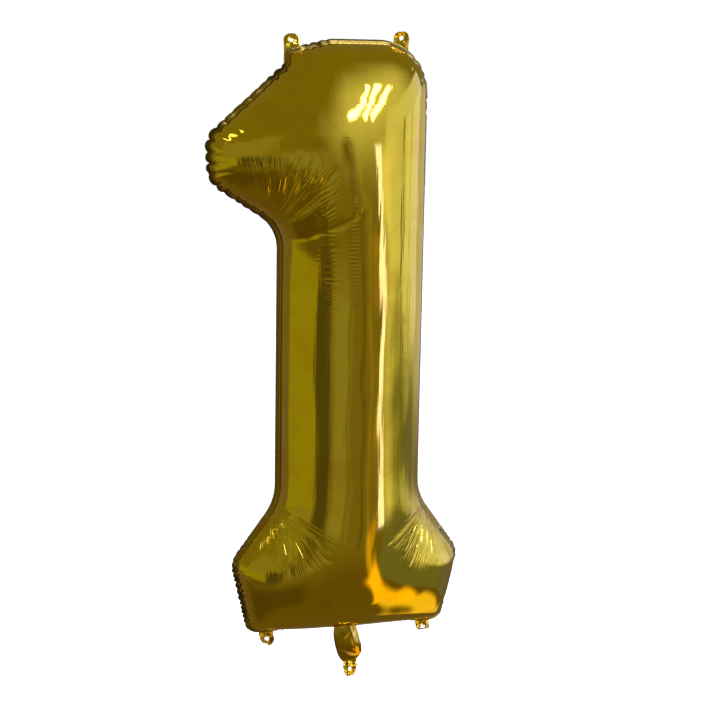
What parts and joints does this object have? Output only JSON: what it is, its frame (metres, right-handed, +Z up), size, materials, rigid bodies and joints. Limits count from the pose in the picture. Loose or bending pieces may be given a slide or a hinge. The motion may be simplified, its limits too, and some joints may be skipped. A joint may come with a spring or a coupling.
{
  "type": "foil number balloon",
  "caption": "Gold foil balloon in the shape of a digit one, gas-filled, with a welded rim, four punched hanging tabs and a flat filling neck with a two-film valve.",
  "frame": {"origin": "middle of the hole in the top left tab, in the weld's plane", "axes": "+Z up along the digit, +X to the digit's right as it is read, +Y to the back; the weld lies in the XZ plane and the front looks along -Y"},
  "size_m": [0.3854, 0.2288, 0.9625],
  "materials": {
    "gold_foil": "mirror gold metallised film, crinkled near the welds",
    "clear_film": "clear polythene film"
  },
  "bodies": {
    "balloon": {"front_foil_sheet": "gold_foil", "rear_foil_sheet": "gold_foil", "valve_front_root": "clear_film", "valve_rear_root": "clear_film"},
    "tab_top_left": {"tab_top_left": "gold_foil"},
    "tab_top_right": {"tab_top_right": "gold_foil"},
    "tab_foot_left": {"tab_foot_left": "gold_foil"},
    "tab_foot_right": {"tab_foot_right": "gold_foil"},
    "neck": {"neck_front_ply": "gold_foil", "neck_rear_ply": "gold_foil", "valve_front_tongue": "clear_film", "valve_rear_tongue": "clear_film"},
    "tail_tab": {"tail_tab": "gold_foil"},
    "valve_front": {"valve_front_film": "clear_film"},
    "valve_rear": {"valve_rear_film": "clear_film"}
  },
  "joints": [
    {"name": "tab_top_left_fold", "type": "hinge", "parent": "balloon", "child": "tab_top_left", "pos_m": [0, 0, -0.0105], "axis": [0.9692, 0, 0.2464], "range_deg": [-90, 90], "stiffness_Nm_per_rad": 0.0001},
    {"name": "tab_top_right_fold", "type": "hinge", "parent": "balloon", "child": "tab_top_right", "pos_m": [0.1592, 0, -0.00446], "axis": [0.8985, 0, -0.439], "range_deg": [-90, 90], "stiffness_Nm_per_rad": 0.0001},
    {"name": "tab_foot_left_fold", "type": "hinge", "parent": "balloon", "child": "tab_foot_left", "pos_m": [-0.03039, 0, -0.86659], "axis": [-1, 0, 0], "range_deg": [-90, 90], "stiffness_Nm_per_rad": 0.0001},
    {"name": "tab_foot_right_fold", "type": "hinge", "parent": "balloon", "child": "tab_foot_right", "pos_m": [0.21261, 0, -0.86659], "axis": [-1, 0, 0], "range_deg": [-90, 90], "stiffness_Nm_per_rad": 0.0001},
    {"name": "neck_fold", "type": "hinge", "parent": "balloon", "child": "neck", "pos_m": [0.09111, 0, -0.86734], "axis": [1, 0, 0], "range_deg": [-80, 80], "stiffness_Nm_per_rad": 0.001},
    {"name": "tail_tab_fold", "type": "hinge", "parent": "neck", "child": "tail_tab", "pos_m": [0.09111, 0.00415, -0.92304], "axis": [1, 0, 0], "range_deg": [-80, 80], "stiffness_Nm_per_rad": 0.0001},
    {"name": "valve_front_part", "type": "hinge", "parent": "balloon", "child": "valve_front", "pos_m": [0.09111, -0.0003, -0.85899], "axis": [1, 0, 0], "range_deg": [0, 4], "stiffness_Nm_per_rad": 0.005},
    {"name": "valve_rear_part", "type": "hinge", "parent": "balloon", "child": "valve_rear", "pos_m": [0.09111, 0.0003, -0.85899], "axis": [1, 0, 0], "range_deg": [-4, 0], "stiffness_Nm_per_rad": 0.005}
  ],
  "couplings": [
    {"joint": "valve_rear_part", "follows": "valve_front_part", "ratio": -1}
  ]
}
